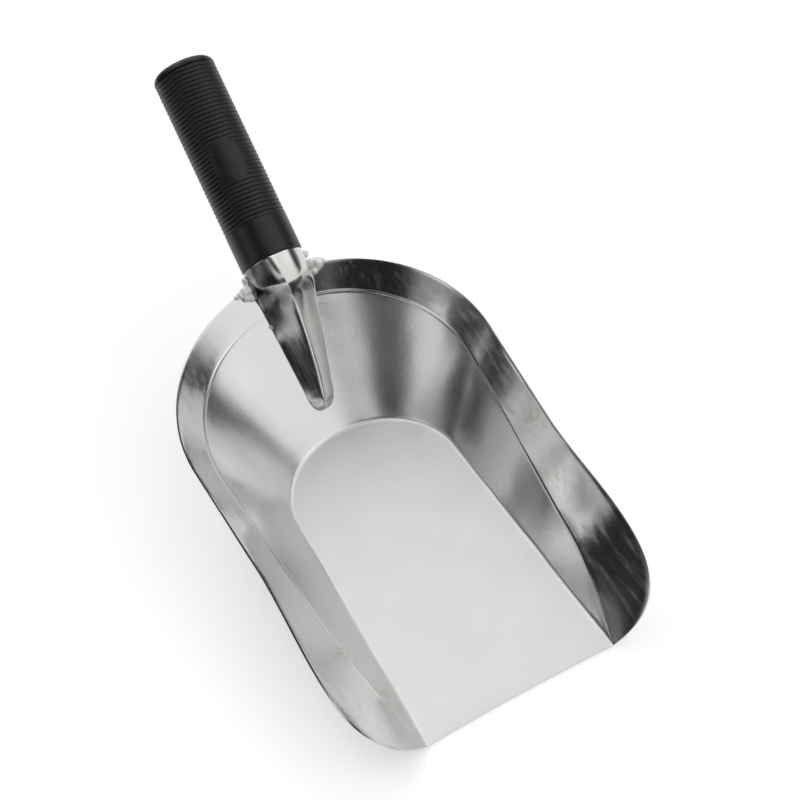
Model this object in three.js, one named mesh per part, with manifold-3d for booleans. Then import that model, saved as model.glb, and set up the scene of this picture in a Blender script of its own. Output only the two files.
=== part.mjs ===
// Grain scoop shovel: a pressed stainless pan, a tapered socket of two half shells let over
// its back wall, a steel tube inside a ribbed rubber grip, and the weld beads that hold them.
// Millimetres, +Z up, the mouth towards -Y and the grip towards +Y.
import * as THREE from "three";
import { mergeVertices } from "three/addons/utils/BufferGeometryUtils.js";
import Module from "manifold-3d";

const wasm = await Module();
wasm.setup();

// ---------------------------------------------------------------- driving sizes

const DEG = Math.PI / 180;
const SHEET = 0.8; // thickness of the pressed sheet and of the socket shells
const GAP = 0.3; // clearance left between pieces that touch

const MOUTH_HALF = 39.5; // half the width of the straight front edge of the floor
const PAN_LENGTH = 200; // from the front edge to the rim at the back

// Each outline runs from the middle of the back, round an arc and along one side, to the
// front corner of the floor, where all three meet.
const ARC_SHARE = 0.44; // share of each outline that its arc takes
const FLOOR = { radius: 36.3, backY: 156.9, sideAngle: 1.5 * DEG };
const CREASE = { radius: 56.7, backY: 194, sideAngle: -5.3 * DEG, height: 44.8, lift: 4.3, liftEndY: 64.5 };
const RIM = { radius: 65.5, backY: PAN_LENGTH, sideAngle: -2.5 * DEG, height: 56.7, slope: 0.17 };
const EAR_START_Y = 79.5; // where the rim leaves its straight side for the rounded ear
const FLOOR_BEND = 1.8; // reach of the rounding between floor and wall
const CREASE_BEND = 1.6; // reach of the rounding along the crease

// The handle's axis stands a little off the pan's centre line and is turned slightly, as
// a hand-set and welded handle is.
const HANDLE_BASE = new THREE.Vector3(4.8, 204, 60.5 + SHEET); // centre of the grip's lower end
const HANDLE_TILT = 35.9 * DEG; // above the horizontal
const HANDLE_TURN = 3.2 * DEG; // towards +X

const GRIP = {
  length: 91,
  radius: 13.6,
  bore: 11.4,
  collar: 16.4, // plain length at the lower end
  pitch: 1.87,
  ribs: 37,
  grooveDepth: 0.6,
  endRounding: 3.2,
};
const PAD = { along: 43.2, halfLength: 10, halfWidth: 7.6 };
const TUBE = { radius: 11, wall: 1.2, start: -4.4, end: 84 };
const SOCKET_RADIUS = 13.1;

// ---------------------------------------------------------------- outlines of the pan

const corner = new THREE.Vector3(MOUTH_HALF, 0, 0);

function arcPoint({ radius, backY }, angle, z) {
  return new THREE.Vector3(radius * Math.cos(angle), backY - radius + radius * Math.sin(angle), z);
}

const floorHeight = () => 0;
const rimHeight = (y) => RIM.height - RIM.slope * (PAN_LENGTH - y);

// The crease climbs straight from the mouth to the back, with a swell where it passes the ears.
function creaseHeight(y) {
  const swell = Math.sin(Math.PI * THREE.MathUtils.clamp(y / CREASE.liftEndY, 0, 1));
  return (CREASE.height * y) / CREASE.backY + CREASE.lift * swell * swell;
}

// The direction in which an outline leaves its arc, towards the mouth.
function sideDirection(angle, rise) {
  return new THREE.Vector3(Math.sin(angle), -Math.cos(angle), rise).normalize();
}

function ahead(point, direction, distance) {
  return point.clone().addScaledVector(direction, distance);
}

function floorSide() {
  const start = arcPoint(FLOOR, FLOOR.sideAngle, 0);
  return new THREE.LineCurve3(start, corner);
}

// The crease's side curve is drawn in plan, then each of its points is set to its height.
class CreaseSide extends THREE.Curve {
  constructor() {
    super();
    const start = arcPoint(CREASE, CREASE.sideAngle, 0);
    const leaving = ahead(start, sideDirection(CREASE.sideAngle, 0), 78);
    const arriving = new THREE.Vector3(MOUTH_HALF + 12, 43, 0);
    this.plan = new THREE.CubicBezierCurve3(start, leaving, arriving, corner);
  }

  getPoint(t) {
    const point = this.plan.getPoint(t);
    return point.setZ(creaseHeight(point.y));
  }
}

function rimSide() {
  const start = arcPoint(RIM, RIM.sideAngle, 0);
  start.z = rimHeight(start.y);
  const run = sideDirection(RIM.sideAngle, -RIM.slope);
  const earStart = ahead(start, run, (EAR_START_Y - start.y) / run.y);
  const earOut = ahead(earStart, run, 40).add(new THREE.Vector3(0.5, 0, 2));
  const earBack = new THREE.Vector3(MOUTH_HALF + 34, -15, 31.7);
  const side = new THREE.CurvePath();
  side.add(new THREE.LineCurve3(start, earStart));
  side.add(new THREE.CubicBezierCurve3(earStart, earOut, earBack, corner));
  return side;
}

// A point of an outline for u from 0 (middle of the back) to 1 (front corner), on +X.
function outline(track, side, heightAt) {
  return (u) => {
    if (u >= ARC_SHARE) return side.getPointAt((u - ARC_SHARE) / (1 - ARC_SHARE));
    const angle = THREE.MathUtils.lerp(Math.PI / 2, track.sideAngle, u / ARC_SHARE);
    const point = arcPoint(track, angle, 0);
    point.z = heightAt(point.y);
    return point;
  };
}

const floorEdge = outline(FLOOR, floorSide(), floorHeight);
const creaseEdge = outline(CREASE, new CreaseSide(), creaseHeight);
const rimEdge = outline(RIM, rimSide(), rimHeight);

// ---------------------------------------------------------------- mesh helpers

// A closed mesh from a list of points and triangles, with triangles that have collapsed
// to a line or a point left out.
function geometryOf(points, triangles) {
  const positions = points.flatMap((p) => [p.x, p.y, p.z]);
  const soup = new THREE.BufferGeometry();
  soup.setAttribute("position", new THREE.Float32BufferAttribute(positions, 3));
  soup.setIndex(triangles.flat());
  const merged = mergeVertices(soup, 1e-3);
  const index = Array.from(merged.index.array);
  const kept = [];
  for (let i = 0; i < index.length; i += 3) {
    const [a, b, c] = index.slice(i, i + 3);
    if (a !== b && b !== c && c !== a) kept.push(a, b, c);
  }
  merged.setIndex(signedVolume(merged.attributes.position, kept) < 0 ? kept.reverse() : kept);
  return merged;
}

// The volume that a closed mesh encloses, negative where its triangles face inwards.
function signedVolume(position, index) {
  const corners = [0, 1, 2].map(() => new THREE.Vector3());
  let volume = 0;
  for (let i = 0; i < index.length; i += 3) {
    const [a, b, c] = corners.map((v, k) => v.fromBufferAttribute(position, index[i + k]));
    volume += a.dot(b.clone().cross(c)) / 6;
  }
  return volume;
}

function solidFrom(geometry, matrix = new THREE.Matrix4()) {
  const world = geometry.clone().applyMatrix4(matrix);
  for (const name of Object.keys(world.attributes)) {
    if (name !== "position") world.deleteAttribute(name);
  }
  const merged = mergeVertices(world, 1e-3);
  return new wasm.Manifold(
    new wasm.Mesh({
      numProp: 3,
      vertProperties: new Float32Array(merged.attributes.position.array),
      triVerts: new Uint32Array(merged.index.array),
    }),
  );
}

function geometryFrom(solid) {
  const mesh = solid.getMesh();
  const geometry = new THREE.BufferGeometry();
  geometry.setAttribute("position", new THREE.BufferAttribute(mesh.vertProperties, 3));
  geometry.setIndex(new THREE.BufferAttribute(mesh.triVerts, 1));
  return geometry;
}

function quad(a, b, c, d) {
  return [
    [a, b, c],
    [a, c, d],
  ];
}

// ---------------------------------------------------------------- pan

function bendPoints(before, bend, after, steps) {
  const curve = new THREE.QuadraticBezierCurve3(before, bend, after);
  return curve.getPoints(steps);
}

// One cross-section of the sheet's inner face at u: floor, bend, wall, crease, band, rim.
// Every section has the same number of points; at the front corner they all fall together.
function section(u) {
  const floor = floorEdge(u);
  const crease = creaseEdge(u);
  const rim = rimEdge(u);
  const wall = crease.clone().sub(floor);
  const band = rim.clone().sub(crease);
  const outward = new THREE.Vector3(wall.x, wall.y, 0).normalize();
  const low = Math.min(FLOOR_BEND, 0.3 * wall.length());
  const high = Math.min(CREASE_BEND, 0.3 * wall.length(), 0.3 * band.length());
  wall.normalize();
  band.normalize();
  return [
    ...bendPoints(ahead(floor, outward, -low), floor, ahead(floor, wall, low), 2),
    ...bendPoints(ahead(crease, wall, -high), crease, ahead(crease, band, high), 2),
    rim,
  ];
}

// The sheet's inner face, as columns that run from the front corner on +X round the back
// to the front corner on -X.
function innerFace(columns) {
  const half = [];
  for (let i = 0; i <= columns; i++) half.push(section(1 - i / columns));
  const mirrored = half.slice(0, -1).reverse();
  const flip = (p) => new THREE.Vector3(-p.x, p.y, p.z);
  return [...half, ...mirrored.map((points) => points.map(flip))];
}

// Unit normals of the inner face, pointing into the scoop; the floor's own are vertical.
function faceNormals(face) {
  const up = new THREE.Vector3(0, 0, 1);
  const last = face.length - 1;
  return face.map((points, i) =>
    points.map((point, j) => {
      if (j === 0 || i === 0 || i === last) return up;
      const along = face[i + 1][j].clone().sub(face[i - 1][j]);
      const below = points[j - 1];
      const above = points[Math.min(j + 1, points.length - 1)];
      return above.clone().sub(below).cross(along).normalize();
    }),
  );
}

// The pressed sheet between two offsets along the inner face's normals.
function panSheet(inner, outer, columns = 44) {
  const face = innerFace(columns);
  const normals = faceNormals(face);
  const rows = face[0].length;
  const count = face.length;
  const lift = new THREE.Vector3(0, 0, SHEET);
  const layer = (offset) =>
    face.flatMap((points, i) =>
      points.map((point, j) => ahead(point, normals[i][j], offset).add(lift)),
    );
  const points = [...layer(inner), ...layer(-outer)];
  const top = (i, j) => i * rows + j;
  const under = (i, j) => count * rows + top(i, j);
  const triangles = [];
  for (let i = 0; i < count - 1; i++) {
    for (let j = 0; j < rows - 1; j++) {
      triangles.push(...quad(top(i, j), top(i, j + 1), top(i + 1, j + 1), top(i + 1, j)));
      triangles.push(...quad(under(i + 1, j), under(i + 1, j + 1), under(i, j + 1), under(i, j)));
    }
    const rim = rows - 1;
    triangles.push(...quad(top(i + 1, rim), top(i, rim), under(i, rim), under(i + 1, rim)));
  }
  for (let i = 0; i < (count - 1) / 2; i++) {
    const across = count - 1 - i;
    triangles.push(...quad(top(i, 0), top(i + 1, 0), top(across - 1, 0), top(across, 0)));
    triangles.push(...quad(under(across, 0), under(across - 1, 0), under(i + 1, 0), under(i, 0)));
  }
  triangles.push(...quad(top(0, 0), top(count - 1, 0), under(count - 1, 0), under(0, 0)));
  return geometryOf(points, triangles);
}

// ---------------------------------------------------------------- socket shells

const handleTurn = new THREE.Euler(HANDLE_TILT, 0, -HANDLE_TURN, "ZXY");
const handleFrame = new THREE.Matrix4()
  .makeRotationFromEuler(handleTurn)
  .setPosition(HANDLE_BASE);
const handleAxis = new THREE.Vector3(0, 1, 0).transformDirection(handleFrame);
const handleSide = new THREE.Vector3(1, 0, 0).transformDirection(handleFrame);
const handleUp = new THREE.Vector3(0, 0, 1).transformDirection(handleFrame);

// A half shell lofted through stations. Each station is an arch over a chord: its middle,
// the chord's direction and half width, and the arch's direction and height.
function archShell(stations, thickness, steps = 12) {
  const points = [];
  for (const { middle, side, arch, halfWidth, height } of stations) {
    for (const inset of [0, thickness]) {
      for (let k = 0; k <= steps; k++) {
        const angle = (Math.PI * k) / steps;
        const across = (halfWidth - inset) * Math.cos(angle);
        const rise = (height - inset) * Math.sin(angle);
        points.push(ahead(ahead(middle, side, across), arch, rise));
      }
    }
  }
  const at = (station, layer, k) => (station * 2 + layer) * (steps + 1) + k;
  const triangles = [];
  const last = stations.length - 1;
  for (let k = 0; k < steps; k++) {
    triangles.push(...quad(at(0, 0, k), at(0, 0, k + 1), at(0, 1, k + 1), at(0, 1, k)));
    triangles.push(...quad(at(last, 1, k), at(last, 1, k + 1), at(last, 0, k + 1), at(last, 0, k)));
    for (let s = 0; s < last; s++) {
      triangles.push(...quad(at(s, 0, k), at(s + 1, 0, k), at(s + 1, 0, k + 1), at(s, 0, k + 1)));
      triangles.push(...quad(at(s, 1, k + 1), at(s + 1, 1, k + 1), at(s + 1, 1, k), at(s, 1, k)));
    }
  }
  for (let s = 0; s < last; s++) {
    triangles.push(...quad(at(s, 0, 0), at(s, 1, 0), at(s + 1, 1, 0), at(s + 1, 0, 0)));
    triangles.push(...quad(at(s, 1, steps), at(s, 0, steps), at(s + 1, 0, steps), at(s + 1, 1, steps)));
  }
  return geometryOf(points, triangles);
}

// Where the inner face of the back wall lies, at x and at a height above the floor.
function wallY(x, height) {
  const onWall = height < CREASE.height;
  const [low, high] = onWall ? [FLOOR, CREASE] : [CREASE, RIM];
  const from = onWall ? 0 : CREASE.height;
  const to = onWall ? CREASE.height : RIM.height;
  const share = Math.min(1, (height - from) / (to - from));
  const radius = THREE.MathUtils.lerp(low.radius, high.radius, share);
  const backY = THREE.MathUtils.lerp(low.backY, high.backY, share);
  return backY - radius + Math.sqrt(radius * radius - x * x);
}

// A station whose two feet stand at a height on the back wall, off its inner face by a
// distance towards the grip.
function wallStation({ centreX, halfWidth, height, off, arch, rise }) {
  const foot = (x) => new THREE.Vector3(x, wallY(x, height) + off, height + SHEET);
  const left = foot(centreX - halfWidth);
  const right = foot(centreX + halfWidth);
  return {
    middle: left.clone().add(right).multiplyScalar(0.5),
    side: right.clone().sub(left).normalize(),
    halfWidth: left.distanceTo(right) / 2,
    arch,
    height: rise,
  };
}

// The round end of both shells, just below the grip.
function gripStation(archSign) {
  return {
    middle: ahead(ahead(HANDLE_BASE, handleAxis, -GAP), handleUp, (archSign * GAP) / 2),
    side: handleSide,
    halfWidth: SOCKET_RADIUS,
    arch: handleUp.clone().multiplyScalar(archSign),
    height: SOCKET_RADIUS,
  };
}

const TONGUE = { tipHeight: 9, roundedTo: 13.2, tipX: -1.5, lean: 0.15, tipHalfWidth: 5, taper: 0.19 };
const TONGUE_HEIGHTS = [57.5, 52, 46.5, 38.4, 30, 21.3, 16, 13.2, 11.1, 9.8, 9.3];

// The shell inside the scoop narrows into a tongue that lies on the back wall and ends in
// a rounded tip low on it.
function innerStations() {
  const wallNormal = new THREE.Vector3(0, -CREASE.height, CREASE.backY - FLOOR.backY).normalize();
  const stations = TONGUE_HEIGHTS.map((height) => {
    const taper = TONGUE.tipHalfWidth + TONGUE.taper * (height - TONGUE.tipHeight - 1.6);
    const fromRound = Math.max(0, (TONGUE.roundedTo - height) / (TONGUE.roundedTo - TONGUE.tipHeight));
    const rounding = Math.sqrt(1 - 0.9 * fromRound * fromRound);
    const halfWidth = Math.min(SOCKET_RADIUS, taper * rounding);
    const steeper = 0.25 * THREE.MathUtils.smoothstep(height, 26, 46);
    const flatter = 0.06 * THREE.MathUtils.smoothstep(height, 46, 58);
    return wallStation({
      centreX: Math.min(HANDLE_BASE.x - GAP, TONGUE.tipX + TONGUE.lean * (height - TONGUE.tipHeight)),
      halfWidth,
      height,
      off: -2 * GAP,
      arch: wallNormal.clone().lerp(handleUp, height / RIM.height).normalize(),
      rise: Math.max(1.2, halfWidth * (0.6 + steeper - flatter)),
    });
  });
  return [gripStation(1), ...stations];
}

const HALF_PIPE_HEIGHTS = [56.5, 52, 47, 42, 37, 34];

// The shell outside runs straight on as the lower half of a round tube, cut off where the
// slope of the back wall meets it.
function outerStations() {
  const stations = HALF_PIPE_HEIGHTS.map((height) => {
    const off = SHEET + 3 * GAP;
    const onWall = new THREE.Vector3(HANDLE_BASE.x, wallY(HANDLE_BASE.x, height) + off, height + SHEET);
    const below = HANDLE_BASE.clone().sub(onWall).dot(handleUp);
    const halfWidth = Math.sqrt(SOCKET_RADIUS ** 2 - below ** 2);
    return wallStation({
      centreX: HANDLE_BASE.x - GAP,
      halfWidth,
      height,
      off,
      arch: handleUp.clone().negate(),
      rise: SOCKET_RADIUS - below,
    });
  });
  return [gripStation(-1), ...stations];
}

// ---------------------------------------------------------------- grip and tube

// The rubber sleeve's profile, from the middle of its closed end down the outside to the
// lower end and back up the bore.
function gripProfile() {
  const { length, radius, bore, collar, pitch, ribs, grooveDepth, endRounding } = GRIP;
  const points = [new THREE.Vector2(0, length)];
  for (let k = 0; k <= 4; k++) {
    const angle = (Math.PI / 2) * (1 - k / 4);
    const across = radius - endRounding + endRounding * Math.cos(angle);
    points.push(new THREE.Vector2(across, length - endRounding + endRounding * Math.sin(angle)));
  }
  for (let rib = ribs; rib >= 0; rib--) {
    const crest = collar + pitch * rib;
    points.push(new THREE.Vector2(radius - grooveDepth, crest + pitch / 2));
    points.push(new THREE.Vector2(radius, crest));
  }
  points.push(new THREE.Vector2(radius, 0), new THREE.Vector2(bore, 0));
  points.push(new THREE.Vector2(bore, TUBE.end + 1), new THREE.Vector2(0, TUBE.end + 1));
  return points;
}

function gripGeometry() {
  const sleeve = new THREE.LatheGeometry(gripProfile().reverse(), 24);
  const oval = new THREE.Shape();
  oval.absellipse(0, 0, PAD.halfWidth, PAD.halfLength, 0, 2 * Math.PI);
  const boss = new THREE.ExtrudeGeometry(oval, { depth: 6, bevelEnabled: false, curveSegments: 10 });
  boss.translate(0, PAD.along, GRIP.bore - 0.5);
  const limit = new THREE.CylinderGeometry(GRIP.radius - 0.05, GRIP.radius - 0.05, 40, 48);
  limit.translate(0, PAD.along, 0);
  const pad = solidFrom(boss).intersect(solidFrom(limit));
  const hollow = new THREE.CylinderGeometry(GRIP.bore, GRIP.bore, 60, 24);
  hollow.translate(0, PAD.along, 0);
  return geometryFrom(solidFrom(sleeve).add(pad.subtract(solidFrom(hollow))));
}

function tubeGeometry() {
  const { radius, wall, start, end } = TUBE;
  const inner = radius - wall;
  const profile = [
    new THREE.Vector2(inner, start),
    new THREE.Vector2(radius, start),
    new THREE.Vector2(radius, end),
    new THREE.Vector2(inner, end),
    new THREE.Vector2(inner, start),
  ];
  return new THREE.LatheGeometry(profile, 24);
}

// ---------------------------------------------------------------- weld beads

function ball(centre, radius) {
  const geometry = new THREE.SphereGeometry(radius, 12, 8);
  geometry.translate(centre.x, centre.y, centre.z);
  return solidFrom(geometry);
}

// A bead's lumps joined into one, cut clear of the pan, of both shells and of the grip.
function weldGeometry(lumps, clearances) {
  let bead = lumps.map(({ centre, radius }) => ball(centre, radius)).reduce((a, b) => a.add(b));
  for (const solid of clearances) bead = bead.subtract(solid);
  const pieces = bead.decompose().sort((a, b) => b.volume() - a.volume());
  return geometryFrom(pieces[0]);
}

function grown(stations) {
  return stations.map((s) => ({ ...s, halfWidth: s.halfWidth + GAP, height: s.height + GAP }));
}

function weldClearances() {
  const sheet = solidFrom(panSheet(GAP, SHEET + GAP));
  const sleeve = new THREE.CylinderGeometry(GRIP.radius + GAP, GRIP.radius + GAP, 20, 24);
  sleeve.translate(0, 10 - GAP, 0);
  return [
    sheet,
    sheet.translate(0, 0, GAP),
    solidFrom(archShell(grown(innerStations()), SHEET + 2 * GAP)),
    solidFrom(archShell(grown(outerStations()), SHEET + 2 * GAP)),
    solidFrom(sleeve, handleFrame),
  ];
}

// A lump that sits on the rim of the pan at x.
function rimLump(x, radius) {
  const y = wallY(x, RIM.height);
  return { centre: new THREE.Vector3(x, y, rimHeight(y) + SHEET), radius };
}

// A lump against the socket's side, between the rim and the grip.
function cornerLump(x, along, radius) {
  const centre = ahead(HANDLE_BASE, handleAxis, along).setX(x);
  return { centre, radius };
}

// A lump on the inner face of the back wall, at x and at a height above the floor.
function wallLump(x, height, radius) {
  return { centre: new THREE.Vector3(x, wallY(x, height), height + SHEET), radius };
}

const WELDS = {
  rim_weld_left: [cornerLump(-9.2, -3, 2.2), rimLump(-9.8, 2.8), rimLump(-12, 2.6), rimLump(-14, 2)],
  rim_weld_right: [cornerLump(18.4, -3.4, 2), rimLump(19, 2.9), rimLump(21.4, 2.5)],
  tack_weld_left: [wallLump(-6.9, 40.5, 1.6)],
  tack_weld_right: [wallLump(14.5, 44.8, 1.6)],
};

// ---------------------------------------------------------------- assembly

const STEEL = { color: 0xb9babb, roughness: 0.28, metalness: 1 };
const WELD = { color: 0xc9c8c2, roughness: 0.45, metalness: 1 };
const RUBBER = { color: 0x17181a, roughness: 0.62, metalness: 0 };

function piece(name, geometry, look) {
  const mesh = new THREE.Mesh(geometry, new THREE.MeshStandardMaterial(look));
  mesh.geometry.computeVertexNormals();
  mesh.name = name;
  return mesh;
}

function handle() {
  const group = new THREE.Group();
  group.position.copy(HANDLE_BASE);
  group.rotation.copy(handleTurn);
  group.add(piece("grip", gripGeometry(), RUBBER));
  group.add(piece("handle_tube", tubeGeometry(), STEEL));
  return group;
}

function assembly() {
  const group = new THREE.Group();
  group.add(piece("pan", panSheet(0, SHEET), STEEL));
  group.add(piece("socket_inner_shell", archShell(innerStations(), SHEET), STEEL));
  group.add(piece("socket_outer_shell", archShell(outerStations(), SHEET), STEEL));
  group.add(handle());
  const clearances = weldClearances();
  for (const [name, lumps] of Object.entries(WELDS)) {
    group.add(piece(name, weldGeometry(lumps, clearances), WELD));
  }
  return group;
}

// The scoop stands with the middle of its own box over the origin and its floor at z = 0.
function scoop() {
  const parts = assembly();
  const box = new THREE.Box3().setFromObject(parts, true);
  const middle = box.getCenter(new THREE.Vector3());
  parts.position.set(-middle.x, -middle.y, -box.min.z);
  const group = new THREE.Group();
  group.add(parts);
  return group;
}

export default scoop();
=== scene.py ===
"""The grain scoop shovel's fine surfaces, materials, studio and camera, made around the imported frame.

Lengths are in millimetres until a mesh is made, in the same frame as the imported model.
"""

import bisect
import math

import bmesh
import bpy
from mathutils import Matrix, Vector, noise


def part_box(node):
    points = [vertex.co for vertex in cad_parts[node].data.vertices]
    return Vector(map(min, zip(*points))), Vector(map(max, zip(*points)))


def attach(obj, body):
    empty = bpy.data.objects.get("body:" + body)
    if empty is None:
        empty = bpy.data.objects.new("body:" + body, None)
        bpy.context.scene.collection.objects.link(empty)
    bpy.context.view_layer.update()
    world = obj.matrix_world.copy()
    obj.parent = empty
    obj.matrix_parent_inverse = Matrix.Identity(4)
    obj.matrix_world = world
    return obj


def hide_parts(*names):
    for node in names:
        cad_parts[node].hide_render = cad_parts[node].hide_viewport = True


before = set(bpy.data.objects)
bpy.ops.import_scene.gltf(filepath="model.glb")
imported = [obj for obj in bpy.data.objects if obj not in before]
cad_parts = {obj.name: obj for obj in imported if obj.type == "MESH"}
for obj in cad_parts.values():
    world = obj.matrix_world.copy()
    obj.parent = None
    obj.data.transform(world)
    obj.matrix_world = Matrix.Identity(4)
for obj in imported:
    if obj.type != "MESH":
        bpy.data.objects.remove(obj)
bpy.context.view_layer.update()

MM = 0.001
UP = Vector((0, 0, 1))


def box_mm(cad_node):
    """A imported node's lowest and highest corners, in millimetres."""
    low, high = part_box(cad_node)
    return Vector(low) / MM, Vector(high) / MM


# ---------------------------------------------------------------- driving sizes

SHEET = 0.8  # thickness of the pressed sheet and of the socket shells
GAP = 0.3  # clearance between pieces that touch
MOUTH_HALF = 39.5
PAN_LENGTH = 200.0

ARC_SHARE = 0.44  # share of each outline that its arc takes
# Each outline is an arc of this radius whose back lies this far from the mouth, and two
# sides that leave it at this angle to the pan's length.
FLOOR = {"radius": 36.3, "back": 156.9, "side": math.radians(1.5)}
CREASE = {"radius": 56.7, "back": 194.0, "side": math.radians(-5.3)}
RIM = {"radius": 65.5, "back": PAN_LENGTH, "side": math.radians(-2.5)}
CREASE_HEIGHT = 44.8
CREASE_LIFT = 4.3  # how far the crease swells above a straight climb beside the mouth
LIFT_END = 64.5  # how far from the mouth the swell ends
RIM_HEIGHT = 56.7  # at the back
RIM_SLOPE = 0.17  # how fast the rim falls towards the mouth
EAR_START = 79.5  # how far from the mouth the rim's straight side turns into an ear
FLOOR_BEND = 1.6  # length of sheet that each bend takes on either side of its line
CREASE_BEND = 1.1
CREASE_BEAD = 0.2  # how far the crease's sharp line stands proud of the fold

HANDLE_FOOT = Vector((4.8, 204, 60.5))  # centre of the grip's lower end, from the mouth's middle
HANDLE_TILT = math.radians(35.9)
HANDLE_TURN = math.radians(3.2)
HANDLE = Matrix.Rotation(-HANDLE_TURN, 3, "Z") @ Matrix.Rotation(HANDLE_TILT, 3, "X")
HANDLE_SIDE, HANDLE_AXIS, HANDLE_UP = HANDLE.col[0], HANDLE.col[1], HANDLE.col[2]
TUBE_MIDDLE = 39.8  # from the foot to the middle of the steel tube

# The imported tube's own middle says where the mouth's middle lies, on the floor's upper face.
tube_low, tube_high = box_mm("handle_tube")
ORIGIN = (tube_low + tube_high) / 2 - HANDLE_FOOT - TUBE_MIDDLE * HANDLE_AXIS
HANDLE_BASE = HANDLE_FOOT + ORIGIN


# ---------------------------------------------------------------- outlines of the pan


def arc_point(track, angle):
    x = track["radius"] * math.cos(angle)
    y = track["back"] - track["radius"] + track["radius"] * math.sin(angle)
    return Vector((x, y, 0))


def crease_height(y):
    straight = CREASE_HEIGHT * y / CREASE["back"]
    return straight + CREASE_LIFT * math.sin(math.pi * min(1.0, max(0.0, y / LIFT_END))) ** 2


def rim_height(y):
    return RIM_HEIGHT - RIM_SLOPE * (PAN_LENGTH - y)


def bezier(points, t):
    """A point of the Bezier curve through its control points."""
    while len(points) > 1:
        points = [a.lerp(b, t) for a, b in zip(points, points[1:])]
    return points[0]


def even_pace(curve, samples=600):
    """The curve, from 0 to 1, run at an even pace along its length."""
    points = [curve(i / samples) for i in range(samples + 1)]
    reach = [0.0]
    for before, after in zip(points, points[1:]):
        reach.append(reach[-1] + (after - before).length)

    def at(share):
        goal = share * reach[-1]
        i = min(max(bisect.bisect_right(reach, goal) - 1, 0), samples - 1)
        part = (goal - reach[i]) / (reach[i + 1] - reach[i])
        return curve((i + part) / samples)

    return at


CORNER = Vector((MOUTH_HALF, 0, 0))


def side_direction(track, rise=0.0):
    """The direction in which an outline leaves its arc, towards the mouth."""
    return Vector((math.sin(track["side"]), -math.cos(track["side"]), rise)).normalized()


def floor_side():
    start = arc_point(FLOOR, FLOOR["side"])
    return lambda t: start.lerp(CORNER, t)


def crease_side():
    start = arc_point(CREASE, CREASE["side"])
    leaving = start + 78 * side_direction(CREASE)
    arriving = Vector((MOUTH_HALF + 12, 43, 0))
    for point in (start, leaving, arriving):
        point.z = crease_height(point.y)

    def track(t):
        point = bezier([start, leaving, arriving, CORNER], t)
        point.z = crease_height(point.y)
        return point

    return even_pace(track)


def rim_side():
    start = arc_point(RIM, RIM["side"])
    start.z = rim_height(start.y)
    run = side_direction(RIM, -RIM_SLOPE)
    ear = start + run * ((EAR_START - start.y) / run.y)
    ear_out = ear + 40 * run + Vector((0.5, 0, 2))
    ear_back = Vector((MOUTH_HALF + 34, -15, 31.7))

    def track(t):
        if t < 0.5:
            return start.lerp(ear, 2 * t)
        return bezier([ear, ear_out, ear_back, CORNER], 2 * t - 1)

    return even_pace(track)


def outline(track, side, height_at):
    """A function of u, from 0 at the middle of the back to 1 at the front corner on +X."""

    def at(u):
        if u >= ARC_SHARE:
            return side((u - ARC_SHARE) / (1 - ARC_SHARE))
        angle = math.pi / 2 + (track["side"] - math.pi / 2) * u / ARC_SHARE
        point = arc_point(track, angle)
        point.z = height_at(point.y)
        return point

    return at


floor_edge = outline(FLOOR, floor_side(), lambda y: 0.0)
crease_edge = outline(CREASE, crease_side(), crease_height)
rim_edge = outline(RIM, rim_side(), rim_height)


# ---------------------------------------------------------------- mesh helpers


def new_piece(name, bm, material, smooth_below=40.0):
    """An object made from a bmesh in millimetres, shaded smooth across gentle edges."""
    mesh = bpy.data.meshes.new(name)
    bmesh.ops.scale(bm, vec=(MM, MM, MM), verts=bm.verts)
    bm.to_mesh(mesh)
    bm.free()
    mesh.shade_smooth()
    mesh.set_sharp_from_angle(angle=math.radians(smooth_below))
    mesh.materials.append(material)
    piece = bpy.data.objects.new(name, mesh)
    bpy.context.scene.collection.objects.link(piece)
    return piece


def apply_modifiers(piece):
    """Turn a piece's modifiers into plain mesh."""
    graph = bpy.context.evaluated_depsgraph_get()
    graph.update()
    shaped = bpy.data.meshes.new_from_object(piece.evaluated_get(graph))
    piece.modifiers.clear()
    piece.data = shaped


def stands_for(piece, slot, *nodes):
    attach(piece, "root")
    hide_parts(*nodes)


def add_grid(bm, grid):
    """Faces between the points of a grid of rows, all of the same length."""
    rows = [[bm.verts.new(point) for point in row] for row in grid]
    for above, below in zip(rows, rows[1:]):
        for k in range(len(above) - 1):
            bm.faces.new((above[k], above[k + 1], below[k + 1], below[k]))
    return rows


# ---------------------------------------------------------------- pan

HALF_COLUMNS = 170
FLOOR_STEPS = 36
FOOT_STEPS = 6
WALL_STEPS = 14
FOLD_STEPS = 6
BAND_STEPS = 9
BOW = 0.9  # how far the middle of the front edge stands back from its corners
BOW_FADE = 25.0  # how far back from the mouth the bow is felt
DENT_SPREAD = 17.0  # distance across a dent
DENT_ON_FLOOR = 0.02  # height of the dents on the flat floor
DENT_ON_SIDES = 0.1
DENT_FADE = 12.0  # the dents die away over this distance before the mouth
ON_FLOOR, ON_WALL, ON_BAND = 0.0, 1.0, 2.0  # zones of the sheet, blended across its bends


def smooth_step(x):
    x = max(0.0, min(1.0, x))
    return x * x * (3 - 2 * x)


def bend(before, corner, after, steps):
    return [bezier([before, corner, after], i / steps) for i in range(steps + 1)]


def steps_between(start, end, steps):
    """Points strictly between two points."""
    return [start.lerp(end, i / steps) for i in range(1, steps)]


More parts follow.
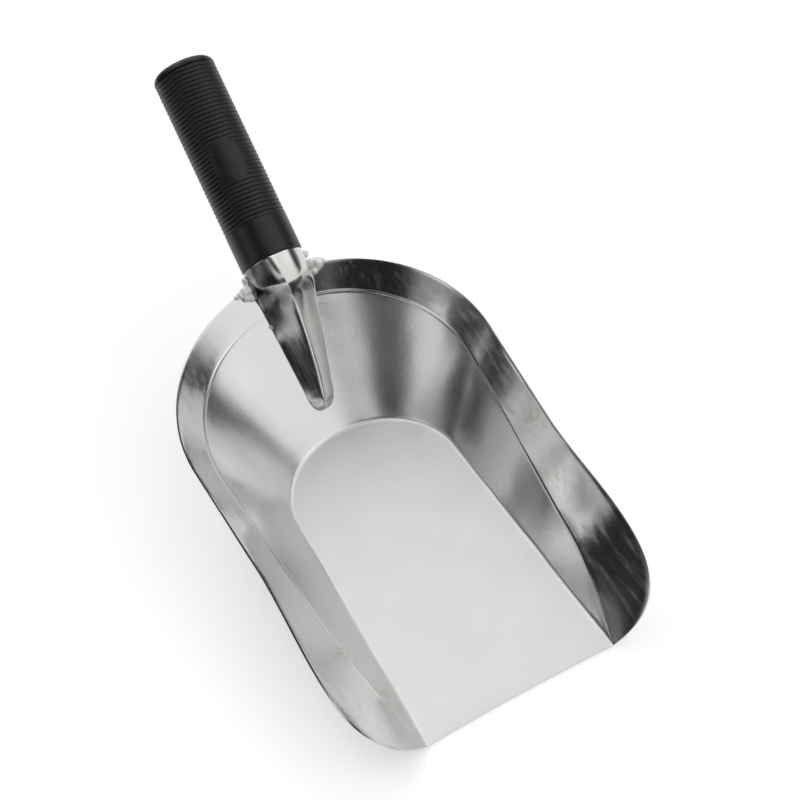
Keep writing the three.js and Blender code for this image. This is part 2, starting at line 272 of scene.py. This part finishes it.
def wall_section(u):
    """The sheet's inner face at u, from the edge of the flat floor up to the rim."""
    floor = floor_edge(u)
    crease = crease_edge(u)
    rim = rim_edge(u)
    wall = crease - floor
    band = rim - crease
    outward = Vector((wall.x, wall.y, 0)).normalized()
    low = min(FLOOR_BEND, 0.3 * wall.length)
    high = min(CREASE_BEND, 0.3 * wall.length, 0.3 * band.length)
    wall.normalize()
    band.normalize()
    foot = bend(floor - low * outward, floor, floor + low * wall, FOOT_STEPS)
    fold = bend(crease - high * wall, crease, crease + high * band, FOLD_STEPS)
    along = (wall + band).normalized()
    proud = CREASE_BEAD * (UP - along * along.z).normalized() * min(1.0, high / CREASE_BEND)
    fold = [point + proud * math.sin(math.pi * i / FOLD_STEPS) ** 4 for i, point in enumerate(fold)]
    wall_points = steps_between(foot[-1], fold[0], WALL_STEPS)
    band_points = steps_between(fold[-1], rim, BAND_STEPS)
    return foot + wall_points + fold + band_points + [rim]


FOOT_ZONES = [ON_FLOOR + (ON_WALL - ON_FLOOR) * i / FOOT_STEPS for i in range(FOOT_STEPS + 1)]
FOLD_ZONES = [ON_WALL + (ON_BAND - ON_WALL) * i / FOLD_STEPS for i in range(FOLD_STEPS + 1)]
SECTION_ZONES = FOOT_ZONES + [ON_WALL] * (WALL_STEPS - 1) + FOLD_ZONES + [ON_BAND] * BAND_STEPS
ROW_ZONES = SECTION_ZONES[::-1] + [ON_FLOOR] * (FLOOR_STEPS - 1) + SECTION_ZONES


def mirrored(point):
    return Vector((-point.x, point.y, point.z))


def floor_strip(edge):
    """Points across the flat floor from a foot on +X to its mirror image on -X."""
    return [edge.lerp(mirrored(edge), k / FLOOR_STEPS) for k in range(1, FLOOR_STEPS)]


def bowed(point):
    """A point of the pan, moved back where it lies near the middle of the front edge."""
    inside = max(0.0, 1 - (point.x / MOUTH_HALF) ** 2)
    near_mouth = max(0.0, 1 - point.y / BOW_FADE)
    return point + Vector((0, BOW * inside * near_mouth**2, 0))


def pan_rows():
    """Cross-sections from the front corners to the back, each from rim to rim."""
    rows = []
    for i in range(HALF_COLUMNS + 1):
        side = wall_section(1 - i / HALF_COLUMNS)
        right = list(reversed(side))
        left = [mirrored(point) for point in side]
        rows.append([bowed(p) + ORIGIN for p in right + floor_strip(side[0]) + left])
    return rows


def dent_sheet(bm, zone):
    """Press the shallow unevenness of stamped sheet into its open surface."""
    bm.normal_update()
    for vertex in bm.verts:
        place = vertex.co / DENT_SPREAD
        swell = noise.noise(place) + 0.35 * noise.noise(place * 2.7)
        if vertex[zone] > ON_WALL:
            swell += 0.22 * noise.noise(place * 5.5)
        reach = DENT_ON_FLOOR if vertex[zone] < 0.5 else DENT_ON_SIDES
        from_edge = min(1.0, (vertex.co - ORIGIN).y / DENT_FADE)
        vertex.co += vertex.normal * swell * reach * max(0.0, from_edge)


def pan_sheet():
    bm = bmesh.new()
    zone = bm.verts.layers.float.new("zone")
    rows = add_grid(bm, pan_rows())
    for row in rows:
        for vertex, value in zip(row, ROW_ZONES):
            vertex[zone] = value
    bmesh.ops.remove_doubles(bm, verts=bm.verts, dist=1e-3)
    bmesh.ops.recalc_face_normals(bm, faces=bm.faces)
    lowest = min(bm.faces, key=lambda face: face.calc_center_median().z)
    if lowest.normal.z < 0:
        bmesh.ops.reverse_faces(bm, faces=bm.faces)
    dent_sheet(bm, zone)
    piece = new_piece("pan_sheet", bm, pan_steel())
    thicken(piece, bevel=0.3)
    stands_for(piece, "stainless_sheet", "pan")
    return piece


def thicken(piece, bevel):
    """Give an open face its sheet thickness, with rounded edges."""
    shell = piece.modifiers.new("thickness", "SOLIDIFY")
    shell.thickness = SHEET * MM
    shell.offset = -1
    edge = piece.modifiers.new("edge", "BEVEL")
    edge.width = bevel * MM
    edge.segments = 3
    edge.limit_method = "ANGLE"
    edge.angle_limit = math.radians(50)
    apply_modifiers(piece)


# ---------------------------------------------------------------- socket shells

SOCKET_RADIUS = 13.1
# Heights of the tongue's tip and of the top of its rounding, the tip's place, how far the
# tongue leans to +X as it climbs, its half width near the tip and how fast that grows.
TONGUE = {"tip": 9.0, "rounded_to": 13.2, "tip_x": -1.5, "lean": 0.15, "tip_width": 5.0, "taper": 0.19}
ARCH_STEPS = 72
RIDGE_SOFTNESS = 0.07
FLUTES = 4  # shallow flutes round each shell just below the grip
FLUTE_DEPTH = 0.009  # as a share of the shell's radius


def wall_y(x, height):
    """Where the inner face of the back wall lies, at x and at a height above the floor."""
    on_wall = height < CREASE_HEIGHT
    low, high = (FLOOR, CREASE) if on_wall else (CREASE, RIM)
    start, end = (0, CREASE_HEIGHT) if on_wall else (CREASE_HEIGHT, RIM_HEIGHT)
    share = min(1.0, (height - start) / (end - start))
    radius = low["radius"] + (high["radius"] - low["radius"]) * share
    back = low["back"] + (high["back"] - low["back"]) * share
    return back - radius + math.sqrt(radius**2 - x**2)


def wall_station(centre_x, half_width, height, off, arch, rise):
    """An arch whose two feet stand on the back wall, off its inner face towards the grip."""

    def foot(x):
        return Vector((x, wall_y(x, height) + off, height)) + ORIGIN

    left = foot(centre_x - half_width)
    right = foot(centre_x + half_width)
    return {
        "middle": (left + right) / 2,
        "side": (right - left).normalized(),
        "half_width": (right - left).length / 2,
        "arch": arch,
        "rise": rise,
        "ridge": 0.0,
        "ridge_shift": 0.0,
        "flute": 0.0,
    }


def grip_station(sign):
    """The round end of both shells, just below the grip."""
    return {
        "middle": HANDLE_BASE - GAP * HANDLE_AXIS + sign * GAP / 2 * HANDLE_UP,
        "side": HANDLE_SIDE.copy(),
        "half_width": SOCKET_RADIUS,
        "arch": sign * HANDLE_UP,
        "rise": SOCKET_RADIUS,
        "ridge": 0.0,
        "ridge_shift": 0.0,
        "flute": FLUTE_DEPTH,
    }


def tongue_station(height):
    """The tongue's arch at a height above the floor, flatter and more ridged further down."""
    wall_normal = Vector((0, -CREASE_HEIGHT, CREASE["back"] - FLOOR["back"])).normalized()
    taper = TONGUE["tip_width"] + TONGUE["taper"] * (height - TONGUE["tip"] - 1.6)
    below_round = max(0.0, (TONGUE["rounded_to"] - height) / (TONGUE["rounded_to"] - TONGUE["tip"]))
    half_width = min(SOCKET_RADIUS, taper * math.sqrt(1 - 0.9 * below_round**2))
    steepness = 0.6 + 0.38 * smooth_step((height - 22) / 34)
    centre_x = TONGUE["tip_x"] + TONGUE["lean"] * (height - TONGUE["tip"])
    station = wall_station(
        centre_x=min(HANDLE_BASE.x - GAP, centre_x),
        half_width=half_width,
        height=height,
        off=-2 * GAP,
        arch=wall_normal.lerp(HANDLE_UP, height / RIM_HEIGHT).normalized(),
        rise=max(1.2, half_width * steepness),
    )
    station["ridge"] = 0.9 * smooth_step((62 - height) / 28)
    station["ridge_shift"] = 0.16 * smooth_step((58 - height) / 30) * smooth_step((height - 9) / 12)
    station["flute"] = FLUTE_DEPTH * smooth_step((height - 36) / 20)
    return station


def half_pipe_station(height):
    """The outer shell's arch, cut off where its feet meet the outside of the wall."""
    off = SHEET + 3 * GAP
    on_wall = Vector((HANDLE_BASE.x, wall_y(HANDLE_BASE.x, height) + off, height)) + ORIGIN
    below = (HANDLE_BASE - on_wall).dot(HANDLE_UP)
    return wall_station(
        centre_x=HANDLE_BASE.x - GAP,
        half_width=math.sqrt(SOCKET_RADIUS**2 - below**2),
        height=height,
        off=off,
        arch=-HANDLE_UP,
        rise=SOCKET_RADIUS - below,
    )


def blend_stations(stations, steps):
    """Stations in between, on smooth curves through the given ones."""
    finer = []
    last = len(stations) - 1
    for i in range(last):
        around = [stations[max(0, min(last, i + k))] for k in (-1, 0, 1, 2)]
        for s in range(steps):
            finer.append({key: catmull([a[key] for a in around], s / steps) for key in around[0]})
    finer.append(stations[-1])
    for station in finer:
        station["side"] = station["side"].normalized()
        station["arch"] = station["arch"].normalized()
    return finer


def catmull(values, t):
    """A value on a Catmull-Rom curve, between the second and the third of four."""
    before, start, end, after = values
    return 0.5 * (
        2 * start
        + (end - before) * t
        + (2 * before - 5 * start + 4 * end - after) * t**2
        + (3 * start - before - 3 * end + after) * t**3
    )


def arch_row(station):
    """Points along an arch: a half round, or partly a softened ridge, with shallow flutes."""
    row = []
    for k in range(ARCH_STEPS + 1):
        angle = math.pi * k / ARCH_STEPS
        across = math.cos(angle) + station["ridge_shift"] * math.sin(angle)
        roof = math.hypot(1, RIDGE_SOFTNESS) - math.hypot(math.cos(angle), RIDGE_SOFTNESS)
        rise = math.sin(angle) + station["ridge"] * (roof - math.sin(angle))
        flute = 1 - station["flute"] * math.sin(angle) * math.cos(FLUTES * 2 * angle + 0.8)
        sideways = across * station["half_width"] * station["side"]
        upwards = rise * station["rise"] * station["arch"]
        row.append(station["middle"] + (sideways + upwards) * flute)
    return row


def arch_shell(name, stations, material, cad_node):
    """A sheet shell through the arches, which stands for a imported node."""
    bm = bmesh.new()
    add_grid(bm, [arch_row(station) for station in stations])
    bm.normal_update()
    middle = stations[0]["middle"]
    face = next(iter(bm.faces))
    if face.normal.dot(face.calc_center_median() - middle) < 0:
        bmesh.ops.reverse_faces(bm, faces=bm.faces)
    piece = new_piece(name, bm, material)
    thicken(piece, bevel=0.25)
    stands_for(piece, "stainless_sheet", cad_node)
    return piece


def socket_shells():
    tongue_heights = (53, 46.5, 38.4, 30, 21.3, 16, 13.2, 11.1, 9.8, 9.3)
    half_pipe_heights = (56.5, 52, 47, 42, 37, 34)
    tongue = [grip_station(1)] + [tongue_station(h) for h in tongue_heights]
    half_pipe = [grip_station(-1)] + [half_pipe_station(h) for h in half_pipe_heights]
    arch_shell("socket_tongue", blend_stations(tongue, 10), socket_steel(), "socket_inner_shell")
    arch_shell("socket_half_pipe", blend_stations(half_pipe, 6), socket_steel(), "socket_outer_shell")


# ---------------------------------------------------------------- grip

GRIP = {
    "length": 90.93,
    "radius": 13.55,
    "bore": 11.4,  # radius of the blind bore for the tube
    "end_wall": 5.0,  # thickness of the closed end
    "collar": 17.3,  # length of the plain lower end
    "pitch": 1.87,
    "ribs": 38,
    "groove": 0.6,  # depth between two ribs
    "rounding": 3.2,  # radius of the closed end's edge
}
PAD = {"along": 43.2, "half_length": 10.0, "half_width": 7.6}
AROUND = 192


def on_pad(along, angle):
    """1 on the oval pad, 0 beside it, with a soft border between."""
    across = GRIP["radius"] * angle
    reach = math.hypot((along - PAD["along"]) / PAD["half_length"], across / PAD["half_width"])
    return 1 - smooth_step((reach - 0.93) / 0.12)


def groove_depth(along):
    """How deep the ribbing lies at a distance from the grip's lower end."""
    start = GRIP["collar"] - GRIP["pitch"] / 2
    turns = (along - start) / GRIP["pitch"]
    if turns < 0 or turns > GRIP["ribs"]:
        return 0.0
    crest = abs(math.sin(math.pi * turns))
    return GRIP["groove"] * (1 - crest**0.6)


def grip_point(along, radius, angle):
    out = math.sin(angle) * HANDLE_SIDE + math.cos(angle) * HANDLE_UP
    return HANDLE_BASE + along * HANDLE_AXIS + radius * out


def sleeve_stations():
    """Distance along and radius of the sleeve's outside, from the closed end down."""
    length, radius, rounding = GRIP["length"], GRIP["radius"], GRIP["rounding"]
    stations = [(length, radius * share) for share in (0.02, 0.3, 0.55, 0.7)]
    for k in range(9):
        angle = math.pi / 2 * (1 - k / 8)
        across = radius - rounding + rounding * math.cos(angle)
        stations.append((length - rounding + rounding * math.sin(angle), across))
    top = GRIP["collar"] + GRIP["pitch"] * (GRIP["ribs"] - 0.5)
    ribs = 12 * GRIP["ribs"]
    stations += [(top - k * GRIP["pitch"] / 12, radius) for k in range(ribs + 1)]
    stations += [(a, radius) for a in (14, 11, 8, 5, 2.5, 1)]
    stations += [(0.6, radius - 0.05), (0.25, radius - 0.2), (0, radius - 0.5)]
    return stations


def grip_sleeve():
    grid = []
    for along, radius in sleeve_stations():
        row = []
        for k in range(AROUND):
            angle = 2 * math.pi * k / AROUND - math.pi
            depth = groove_depth(along) * (1 - on_pad(along, angle))
            row.append(grip_point(along, radius - depth, angle))
        grid.append(row + [row[0].copy()])
    for along in (0.0, GRIP["length"] - GRIP["end_wall"]):
        angles = [2 * math.pi * k / AROUND - math.pi for k in range(AROUND)]
        row = [grip_point(along, GRIP["bore"], angle) for angle in angles]
        grid.append(row + [row[0].copy()])
    bm = bmesh.new()
    add_grid(bm, grid)
    bmesh.ops.remove_doubles(bm, verts=bm.verts, dist=1e-4)
    bmesh.ops.holes_fill(bm, edges=[e for e in bm.edges if e.is_boundary], sides=0)
    bmesh.ops.recalc_face_normals(bm, faces=bm.faces)
    piece = new_piece("grip_sleeve", bm, black_rubber(), smooth_below=50)
    stands_for(piece, "black_rubber", "grip")
    return piece


# ---------------------------------------------------------------- weld beads

BEAD_VOXEL = 0.3
BEAD_RELAXING = 24  # rounds of smoothing
BEAD_UNEVENNESS = 0.15


def weld_bead(cad_node, lumps):
    """A few lumps melted into one bead with an uneven skin."""
    bm = bmesh.new()
    for centre, radius in lumps:
        place = Matrix.Translation(centre)
        bmesh.ops.create_icosphere(bm, subdivisions=3, radius=radius, matrix=place)
    name = cad_node.replace("weld", "weld_bead")
    piece = new_piece(name, bm, weld_metal(), smooth_below=80)
    remesh = piece.modifiers.new("melt", "REMESH")
    remesh.mode = "VOXEL"
    remesh.voxel_size = BEAD_VOXEL * MM
    relax = piece.modifiers.new("relax", "SMOOTH")
    relax.factor = 0.5
    relax.iterations = BEAD_RELAXING
    apply_modifiers(piece)
    for vertex in piece.data.vertices:
        swell = noise.noise(vertex.co / MM * 0.45) * BEAD_UNEVENNESS
        vertex.co += vertex.normal * swell * MM
    piece.data.shade_smooth()
    stands_for(piece, "weld_metal", cad_node)
    return piece


def rim_lump(x, radius):
    """A lump's centre and radius, on the rim at x."""
    y = wall_y(x, RIM_HEIGHT)
    return Vector((x, y, rim_height(y))) + ORIGIN, radius


def corner_lump(x, along, radius):
    """A lump at x, beside the socket, at a distance along the handle's axis."""
    centre = HANDLE_BASE + along * HANDLE_AXIS
    centre.x = x
    return centre, radius


def wall_lump(x, height, radius):
    """A lump on the back wall, at x and at a height above the floor."""
    return Vector((x, wall_y(x, height), height)) + ORIGIN, radius


WELDS = {
    "rim_weld_left": [
        corner_lump(-9.0, -2.6, 1.9),
        rim_lump(-9.6, 2.4),
        rim_lump(-11.6, 2.1),
        rim_lump(-13.8, 1.6),
        rim_lump(-15.6, 1.1),
        wall_lump(-9.6, 53.5, 2.2),
        wall_lump(-12.4, 54.6, 1.8),
        wall_lump(-11.4, 54.2, 1.6),
    ],
    "rim_weld_right": [
        corner_lump(18.2, -3.2, 1.8),
        rim_lump(18.6, 2.3),
        rim_lump(20.6, 2.4),
        rim_lump(22.6, 1.8),
        wall_lump(18.6, 53.6, 2.1),
        wall_lump(21.4, 55.0, 1.8),
        wall_lump(20.4, 54.4, 1.4),
    ],
    "tack_weld_left": [wall_lump(-6.9, 40.5, 1.5)],
    "tack_weld_right": [wall_lump(14.5, 44.8, 1.5)],
}


# ---------------------------------------------------------------- materials

# Faint brown marks on the pan, each a centre from the mouth's middle and a radius.
STAINS = [(-49, 45, 12, 11), (-45, 22, 7, 11), (60.5, 88, 32, 13), (56, 63, 22, 10)]

# The painted dark reflection on the socket's left side beside the left weld, a near-black streaked
# patch, given the same way.
PAINTED_REFLECTION_PATCHES = [(-7, 201, 65, 15), (-5, 195, 57, 15), (-4, 190, 46, 12), (1, 190, 54, 10)]


def cached(make):
    """Make a material once and give the same one each time."""
    made = []

    def get():
        if not made:
            made.append(make())
        return made[0]

    return get


def new_material(name):
    """An empty material with one Principled shader, and its node tree and that shader."""
    material = bpy.data.materials.new(name)
    material.use_nodes = True
    tree = material.node_tree
    tree.nodes.clear()
    out = tree.nodes.new("ShaderNodeOutputMaterial")
    shader = tree.nodes.new("ShaderNodeBsdfPrincipled")
    tree.links.new(shader.outputs[0], out.inputs[0])
    return material, tree, shader


def node(tree, kind, inputs=None, **settings):
    """A new node whose inputs are linked, where they are sockets, or set."""
    made = tree.nodes.new(kind)
    for key, value in settings.items():
        setattr(made, key, value)
    for key, value in (inputs or {}).items():
        if isinstance(value, bpy.types.NodeSocket):
            tree.links.new(value, made.inputs[key])
        else:
            made.inputs[key].default_value = value
    return made


def ramp(tree, value, start, end, low, high, smooth=False):
    """A value carried from one range to another."""
    kind = "SMOOTHSTEP" if smooth else "LINEAR"
    inputs = {"Value": value, "From Min": start, "From Max": end, "To Min": low, "To Max": high}
    return node(tree, "ShaderNodeMapRange", inputs, interpolation_type=kind).outputs[0]


def math_node(tree, operation, a, b):
    return node(tree, "ShaderNodeMath", {0: a, 1: b}, operation=operation).outputs[0]


def stain_mask(tree, where, places):
    """1 at each of the places, fading to 0 at its radius; all in millimetres."""
    mask = 0.0
    for *centre, radius in places:
        middle = (Vector(centre) + ORIGIN) * MM
        apart = node(tree, "ShaderNodeVectorMath", {0: where, 1: middle}, operation="DISTANCE")
        near = ramp(tree, apart.outputs["Value"], radius * MM, 0.0, 0.0, 1.0, smooth=True)
        mask = math_node(tree, "MAXIMUM", mask, near)
    return mask


def noise_node(tree, where, scale, detail=3.0, stretch=(1, 1, 1)):
    """A noise with features about 1/scale of a metre across, longer where stretch is below 1."""
    spread = node(tree, "ShaderNodeVectorMath", {0: where, 1: stretch}, operation="MULTIPLY")
    inputs = {"Vector": spread.outputs["Vector"], "Scale": scale, "Detail": detail}
    return node(tree, "ShaderNodeTexNoise", inputs).outputs[0]


def bump(tree, shader, height, strength, distance):
    made = node(tree, "ShaderNodeBump", {"Height": height, "Strength": strength, "Distance": distance})
    tree.links.new(made.outputs["Normal"], shader.inputs["Normal"])


def blend(tree, share, a, b):
    """From colour a to colour b as share goes from 0 to 1."""
    inputs = {"Factor": share, "A": a, "B": b}
    return node(tree, "ShaderNodeMix", inputs, data_type="RGBA").outputs["Result"]


@cached
def pan_steel():
    """Pressed sheet: a matt floor, walls with the press's orange peel and brighter flared bands."""
    material, tree, shader = new_material("pan_steel")
    where = node(tree, "ShaderNodeTexCoord").outputs["Object"]
    zone = node(tree, "ShaderNodeAttribute", attribute_name="zone").outputs["Fac"]
    on_wall = ramp(tree, zone, ON_FLOOR, ON_WALL, 0.0, 1.0)
    on_band = ramp(tree, zone, ON_WALL, ON_BAND, 0.0, 1.0)

    grain = noise_node(tree, where, 900)
    cloud = noise_node(tree, where, 60, 4.0)
    floor_rough = ramp(tree, zone, ON_FLOOR, ON_WALL, 0.55, 0.2)
    rough = ramp(tree, zone, ON_WALL, ON_BAND, floor_rough, 0.12)
    fine = ramp(tree, grain, 0.3, 0.7, -0.02, 0.02)
    patches = ramp(tree, cloud, 0.3, 0.7, -0.02, 0.03)
    uneven = math_node(tree, "ADD", fine, patches)
    scratch = ramp(tree, noise_node(tree, where, 520, 5.0, (1.0, 0.12, 0.5)), 0.5, 0.75, 0.0, 0.13)
    scratched = math_node(tree, "MULTIPLY", on_band, scratch)
    all_rough = math_node(tree, "ADD", math_node(tree, "ADD", rough, uneven), scratched)
    tree.links.new(all_rough, shader.inputs["Roughness"])

    peel = noise_node(tree, where, 650, 2.0)
    brushed = noise_node(tree, where, 420, 3.0, (1.0, 0.16, 1.0))
    peel_height = math_node(tree, "MULTIPLY", math_node(tree, "SUBTRACT", on_wall, on_band), peel)
    brushed_height = math_node(tree, "MULTIPLY", on_band, brushed)
    bump(tree, shader, math_node(tree, "ADD", peel_height, brushed_height), 0.35, 0.00005)

    steel = blend(tree, on_wall, (0.76, 0.76, 0.755, 1), (0.67, 0.67, 0.665, 1))
    stain, pit = (0.5, 0.46, 0.38, 1), (0.3, 0.29, 0.28, 1)
    patchy = ramp(tree, noise_node(tree, where, 330, 4.0), 0.46, 0.62, 0.0, 0.6, smooth=True)
    stained = math_node(tree, "MULTIPLY", stain_mask(tree, where, STAINS), patchy)
    pitted = ramp(tree, noise_node(tree, where, 700, 3.0), 0.77, 0.82, 0.0, 0.6)
    coloured = blend(tree, pitted, blend(tree, stained, steel, stain), pit)
    tree.links.new(coloured, shader.inputs["Base Color"])
    shader.inputs["Metallic"].default_value = 1
    return material


@cached
def socket_steel():
    """Bright drawn steel with fine lengthwise drawing lines, and a painted dark reflection in streaks
    on its left side by the left weld.
    """
    material, tree, shader = new_material("socket_steel")
    where = node(tree, "ShaderNodeTexCoord").outputs["Object"]
    lines = noise_node(tree, where, 900, 4.0, (1.0, 0.08, 0.08))
    tree.links.new(ramp(tree, lines, 0.3, 0.7, 0.1, 0.2), shader.inputs["Roughness"])
    bump(tree, shader, lines, 0.25, 0.00004)
    drawn = blend(tree, noise_node(tree, where, 90), (0.62, 0.61, 0.6, 1), (0.68, 0.67, 0.65, 1))
    # Painted reflection: lengthwise streaks of near-black base colour stand in for the dark reflections
    # on the socket's left side.
    reflection_streaks = ramp(tree, noise_node(tree, where, 420, 3.0, (1.0, 0.2, 0.2)), 0.35, 0.65, 0.7, 1.0)
    painted_dark_reflection = math_node(tree, "MULTIPLY", stain_mask(tree, where, PAINTED_REFLECTION_PATCHES), reflection_streaks)
    tree.links.new(blend(tree, painted_dark_reflection, drawn, (0.09, 0.085, 0.08, 1)), shader.inputs["Base Color"])
    shader.inputs["Metallic"].default_value = 1
    return material


@cached
def weld_metal():
    """Pale, half matt metal with uneven gloss."""
    material, tree, shader = new_material("weld_metal")
    where = node(tree, "ShaderNodeTexCoord").outputs["Object"]
    grain = noise_node(tree, where, 500)
    tree.links.new(ramp(tree, grain, 0.0, 1.0, 0.42, 0.6), shader.inputs["Roughness"])
    shader.inputs["Base Color"].default_value = (0.78, 0.77, 0.75, 1)
    shader.inputs["Metallic"].default_value = 1
    return material


@cached
def black_rubber():
    """Black rubber with a fine grain and a little greyish dust."""
    material, tree, shader = new_material("black_rubber")
    where = node(tree, "ShaderNodeTexCoord").outputs["Object"]
    grain = noise_node(tree, where, 900)
    tree.links.new(ramp(tree, grain, 0.0, 1.0, 0.3, 0.42), shader.inputs["Roughness"])
    bump(tree, shader, grain, 0.2, 0.00005)
    shader.inputs["Specular IOR Level"].default_value = 0.4
    dust = ramp(tree, noise_node(tree, where, 140, 5.0), 0.5, 0.75, 0.0, 0.5)
    tint = blend(tree, dust, (0.004, 0.0045, 0.0055, 1), (0.013, 0.0145, 0.0175, 1))
    tree.links.new(tint, shader.inputs["Base Color"])
    return material


# ---------------------------------------------------------------- studio and camera


FLOOR_RADIUS = 750.0
FLOOR_DROP = 0.5  # how far the studio floor lies below the scoop


def studio_floor():
    """A pale disc under the scoop, lit a little by itself so that it stays nearly white."""
    bm = bmesh.new()
    bmesh.ops.create_circle(bm, cap_ends=True, segments=128, radius=FLOOR_RADIUS)
    bmesh.ops.translate(bm, vec=(0, 0, -FLOOR_DROP), verts=bm.verts)
    material, tree, shader = new_material("studio_floor")
    shader.inputs["Base Color"].default_value = (0.9, 0.9, 0.9, 1)
    shader.inputs["Roughness"].default_value = 0.9
    shader.inputs["Emission Color"].default_value = (1, 1, 1, 1)
    shader.inputs["Emission Strength"].default_value = 0.35
    new_piece("studio_floor", bm, material)


AMBIENT = 0.3
PALE = 0.97  # the pale backdrop that the camera sees past the floor

# Soft lights and dark cards round the object. Each has an azimuth from +X towards +Y, an
# elevation, a half angle and a softness in degrees, and a strength. A card's strength is
# the share of the light that it takes away.
SOFT_LIGHTS = {
    "back": (85, 42, 38, 14, 1.1),
    "right": (0, 50, 26, 14, 0.7),
    "front_right": (300, 25, 34, 14, 0.75),
    "front": (248, 31, 12, 8, 0.5),
    "over_front": (272, 59, 9, 6, 0.8),
    "left": (178, 28, 16, 8, 0.6),
    "ceiling": (90, 85, 22, 12, 0.3),
}
DARK_CARDS = {
    "left_front": (221, 6, 24, 9, 0.94),
    "stand": (222, 52, 14, 5, 0.9),
    "camera": (257, 45, 9, 4, 0.9),
    "front_low": (262, 14, 13, 6, 0.9),
    "left_back": (141, 20, 25, 9, 0.93),
    "right_low": (354, 10, 13, 7, 0.75),
    "overhead": (50, 67, 13, 4, 0.9),
}


def toward(azimuth, elevation):
    """The direction with this azimuth and elevation, given in degrees."""
    turn = math.radians(azimuth)
    climb = math.radians(elevation)
    flat = math.cos(climb)
    return Vector((flat * math.cos(turn), flat * math.sin(turn), math.sin(climb)))


def spot(tree, direction, azimuth, elevation, half, soft):
    """1 within a cone round a direction, 0 outside it, with a soft border between."""
    axis = toward(azimuth, elevation)
    facing = node(tree, "ShaderNodeVectorMath", {0: direction, 1: axis}, operation="DOT_PRODUCT")
    outer = math.cos(math.radians(half + soft))
    inner = math.cos(math.radians(max(0, half - soft)))
    return ramp(tree, facing.outputs["Value"], outer, inner, 0.0, 1.0, smooth=True)


def studio_light():
    """A world of soft lights and dark cards, which the camera sees as an even pale backdrop."""
    world = bpy.data.worlds.new("studio")
    world.use_nodes = True
    bpy.context.scene.world = world
    tree = world.node_tree
    background = tree.nodes["Background"]
    direction = node(tree, "ShaderNodeTexCoord").outputs["Generated"]
    light = AMBIENT
    for *place, strength in SOFT_LIGHTS.values():
        patch = math_node(tree, "MULTIPLY", spot(tree, direction, *place), strength)
        light = math_node(tree, "ADD", light, patch)
    for *place, depth in DARK_CARDS.values():
        shade = ramp(tree, spot(tree, direction, *place), 0, 1, 1.0, 1 - depth)
        light = math_node(tree, "MULTIPLY", light, shade)
    seen = node(tree, "ShaderNodeLightPath").outputs["Is Camera Ray"]
    shown = node(tree, "ShaderNodeMix", {"Factor": seen, "A": light, "B": PALE}).outputs["Result"]
    tree.links.new(shown, background.inputs["Strength"])
    background.inputs["Color"].default_value = (1, 1, 1, 1)


CAMERA = {
    "azimuth": math.radians(-15.4),
    "elevation": math.radians(47),
    "roll": math.radians(-15.5),
    "distance": 845.7,
    "target": Vector((28.85, 157.57, 0)) + ORIGIN,
    "lens": 90,
}


def camera():
    """The camera, turned about its target and then rolled."""
    turn = (
        Matrix.Rotation(CAMERA["azimuth"], 3, "Z")
        @ Matrix.Rotation(math.pi / 2 - CAMERA["elevation"], 3, "X")
        @ Matrix.Rotation(CAMERA["roll"], 3, "Z")
    )
    lens = bpy.data.cameras.new("camera")
    lens.lens = CAMERA["lens"]
    lens.sensor_width = 36
    eye = bpy.data.objects.new("camera", lens)
    bpy.context.scene.collection.objects.link(eye)
    place = (CAMERA["target"] + CAMERA["distance"] * turn.col[2]) * MM
    eye.matrix_world = Matrix.Translation(place) @ turn.to_4x4()
    bpy.context.scene.camera = eye


camera()
studio_floor()
studio_light()
pan_sheet()
socket_shells()
grip_sleeve()
bpy.data.objects["handle_tube"].material_slots[0].material = socket_steel()
for weld, lumps in WELDS.items():
    weld_bead(weld, lumps)
bpy.context.scene.view_settings.view_transform = "Standard"
